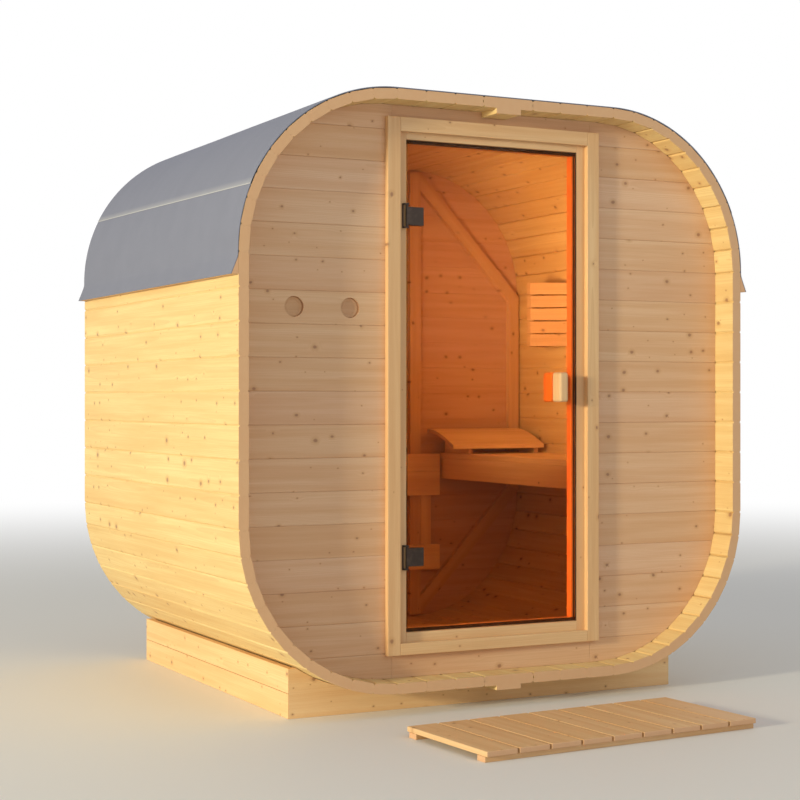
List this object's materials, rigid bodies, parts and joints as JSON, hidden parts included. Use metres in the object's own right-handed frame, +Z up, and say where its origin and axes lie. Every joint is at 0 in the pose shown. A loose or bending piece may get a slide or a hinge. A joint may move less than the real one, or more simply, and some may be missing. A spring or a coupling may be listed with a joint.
{
  "type": "outdoor sauna",
  "caption": "Square-barrel outdoor sauna of wooden staves on a plinth, with a grey roof sheet, a bronze glass door, a side bench and a loose duckboard.",
  "frame": {"origin": "centre of the box round the whole sauna and its duckboard, on the level ground under the plinth", "axes": "+X to the right seen from the door, +Y from the door to the back wall, along the staves, +Z up"},
  "size_m": [2.1578, 2.5828, 2.2118],
  "materials": {
    "stave_wood": "planed softwood, satin",
    "board_wood": "planed softwood, satin",
    "trim_wood": "planed softwood, satin",
    "door_glass": "bronze-tinted toughened glass",
    "bronze_metal": "dark bronze, satin",
    "seal": "matte",
    "roof_sheet": "matte mineral-faced roofing sheet"
  },
  "bodies": {
    "cabin": {"hull_left_side": "stave_wood", "hull_left_top": "stave_wood", "hull_left_floor": "stave_wood", "hull_left_upper_corner": "stave_wood", "hull_left_lower_corner": "stave_wood", "hull_right_side": "stave_wood", "hull_right_top": "stave_wood", "hull_right_floor": "stave_wood", "hull_right_upper_corner": "stave_wood", "hull_right_lower_corner": "stave_wood", "hull_ridge": "stave_wood", "hull_keel": "stave_wood", "front_wall_left": "board_wood", "front_wall_right": "board_wood", "front_wall_over_door": "board_wood", "front_wall_under_door": "board_wood", "vent_plug_outer": "board_wood", "vent_plug_inner": "board_wood", "back_wall_upper": "board_wood", "back_wall_lower": "board_wood", "plinth_front": "board_wood", "plinth_back": "board_wood", "plinth_left": "board_wood", "plinth_right": "board_wood", "back_battens_right": "trim_wood", "back_battens_left": "trim_wood", "door_jamb_left": "trim_wood", "door_jamb_right": "trim_wood", "door_head": "trim_wood", "door_sill": "trim_wood", "drip_batten_left": "trim_wood", "drip_batten_right": "trim_wood", "bench_seat": "trim_wood", "bench_fascia": "trim_wood", "headrest": "trim_wood", "wall_rails": "trim_wood", "lamp_shade": "trim_wood", "duckboard": "trim_wood", "door_seal": "seal", "hinge_bracket_lower": "bronze_metal", "hinge_bracket_upper": "bronze_metal", "roof_sheet": "roof_sheet"},
    "door": {"door_glass": "door_glass", "door_handle_outside": "trim_wood", "door_handle_inside": "trim_wood", "hinge_clamp_lower": "bronze_metal", "hinge_clamp_upper": "bronze_metal"}
  },
  "joints": [
    {"name": "door_hinge", "type": "hinge", "parent": "cabin", "child": "door", "pos_m": [-0.366, -0.39111, 1.16], "axis": [0, 0, -1], "range_deg": [0, 110]}
  ]
}
